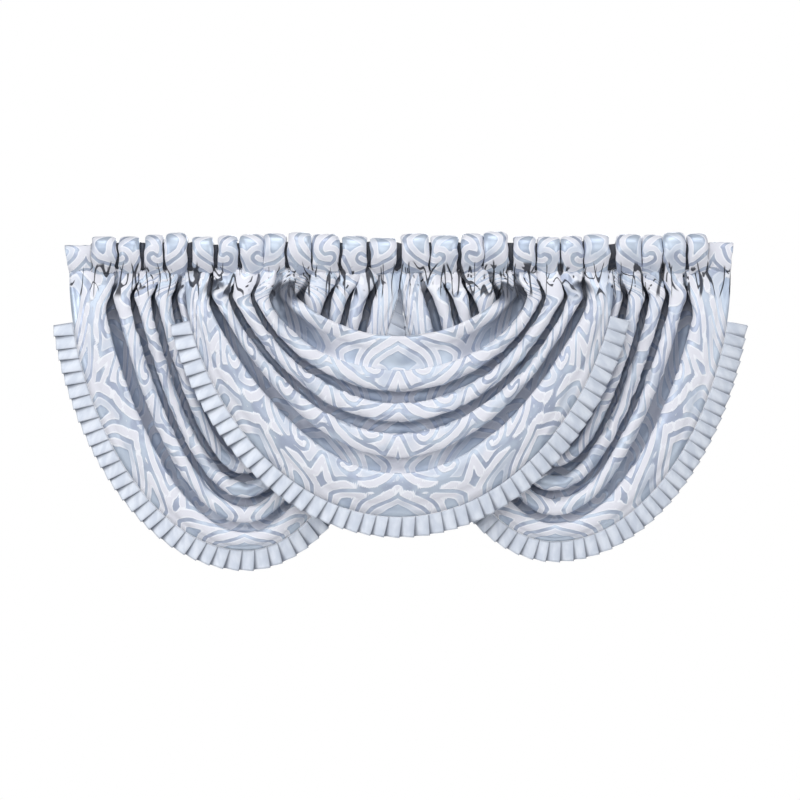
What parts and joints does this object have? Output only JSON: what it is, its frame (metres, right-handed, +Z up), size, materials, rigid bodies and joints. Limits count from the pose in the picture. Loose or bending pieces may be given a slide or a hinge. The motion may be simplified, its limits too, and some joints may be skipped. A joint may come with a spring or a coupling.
{
  "type": "waterfall valance",
  "caption": "Window valance of woven cloth: a gathered rod pocket with flat ends, overlapping draped swags and a knife-pleated trim along each swag's edge.",
  "frame": {"origin": "middle of the rod pocket's top edge, where the cloth bears on the rod", "axes": "+X along the rod, +Z up, the front faces -Y"},
  "size_m": [1.0929, 0.076, 0.5342],
  "materials": {
    "jacquard": "woven jacquard with pale scrolls on a silver-blue satin ground",
    "satin_trim": "plain pale blue satin, pressed in knife pleats"
  },
  "bodies": {
    "root": {"rod_pocket": "jacquard", "swag_left": "jacquard", "swag_centre": "jacquard", "swag_right": "jacquard", "trim_left": "satin_trim", "trim_centre": "satin_trim", "trim_right": "satin_trim"}
  },
  "joints": []
}
